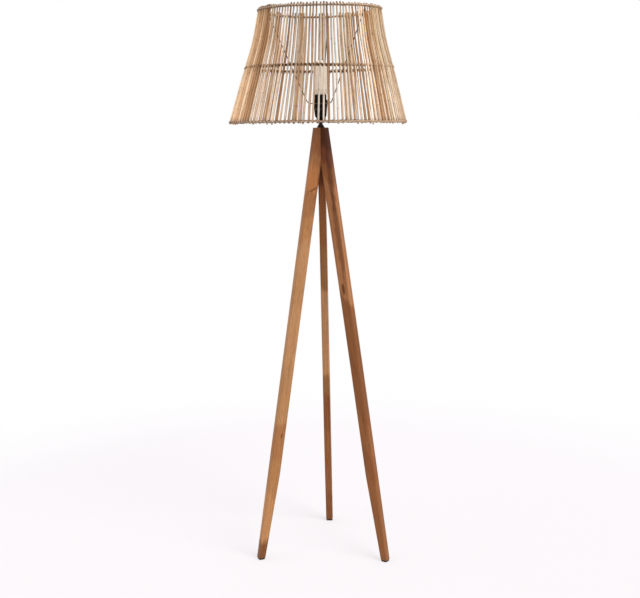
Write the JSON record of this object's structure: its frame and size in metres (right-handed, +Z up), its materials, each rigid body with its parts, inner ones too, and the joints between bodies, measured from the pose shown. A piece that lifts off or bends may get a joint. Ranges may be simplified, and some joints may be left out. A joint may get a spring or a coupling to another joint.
{
  "type": "rattan floor lamp",
  "caption": "Floor lamp with a tapered shade of natural sticks laced to hoops, on a mitred wooden tripod with splayed, tapering legs.",
  "frame": {"origin": "on the floor under the lamp's axis, the middle of the footprint of the shade", "axes": "+Z up; the front of the lamp looks along +Y, with one leg to the rear (+Y) and two to the front, left (-X) and right (+X)"},
  "size_m": [0.4812, 0.4812, 1.5004],
  "materials": {
    "teak": "oiled, eased edges",
    "rattan": "natural, unvarnished sticks",
    "rattan_hoop": "natural rod and split cane",
    "bakelite": "black, satin",
    "black_steel": "black, satin",
    "zinc_steel": "zinc plated",
    "brass": "plain",
    "ceramic": "unglazed white",
    "white_plastic": "white, satin",
    "opal_plastic": "opal, diffusing",
    "black_rubber": "dark, matt"
  },
  "bodies": {
    "stand": {"leg_left": "teak", "leg_right": "teak", "leg_rear": "teak", "foot_pad_left": "black_rubber", "foot_pad_right": "black_rubber", "foot_pad_rear": "black_rubber", "threaded_tube": "zinc_steel", "cone_nut": "black_steel", "head_washer": "zinc_steel", "head_nut": "zinc_steel", "cable_bush": "black_rubber", "holder_cap": "bakelite", "cap_grub_screw": "zinc_steel", "holder_body": "bakelite", "holder_insert": "ceramic", "contact_shell": "brass", "centre_contact": "brass", "terminal_screw_live": "brass", "terminal_screw_neutral": "brass"},
    "shade": {"fitter_ring": "black_steel", "shade_arm_left": "black_steel", "shade_arm_right": "black_steel", "shade_arm_rear": "black_steel", "top_inner_hoop": "rattan_hoop", "middle_inner_hoop": "rattan_hoop", "bottom_inner_hoop": "rattan_hoop", "top_outer_hoop": "rattan_hoop", "bottom_outer_hoop": "rattan_hoop", "stick_panel_01": "rattan", "stick_panel_02": "rattan", "stick_panel_03": "rattan", "stick_panel_04": "rattan", "stick_panel_05": "rattan", "stick_panel_06": "rattan", "stick_panel_07": "rattan", "stick_panel_08": "rattan", "stick_panel_09": "rattan", "stick_panel_10": "rattan", "stick_panel_11": "rattan", "stick_panel_12": "rattan"},
    "ring_nut": {"shade_ring_nut": "bakelite"},
    "bulb": {"bulb_collar": "white_plastic", "bulb_led_board": "ceramic", "bulb_globe": "opal_plastic", "bulb_screw_cap": "zinc_steel", "bulb_insulator": "bakelite", "bulb_tip_contact": "brass"}
  },
  "joints": [
    {"name": "shade_turn", "type": "hinge", "parent": "stand", "child": "shade", "pos_m": [0, 0, 1.2476], "axis": [0, 0, 1], "continuous": true},
    {"name": "ring_nut_lift", "type": "slide", "parent": "stand", "child": "ring_nut", "axis": [0, 0, 1], "range_m": [0, 0.0135]},
    {"name": "bulb_lift", "type": "slide", "parent": "stand", "child": "bulb", "axis": [0, 0, 1], "range_m": [0, 0.024]}
  ]
}
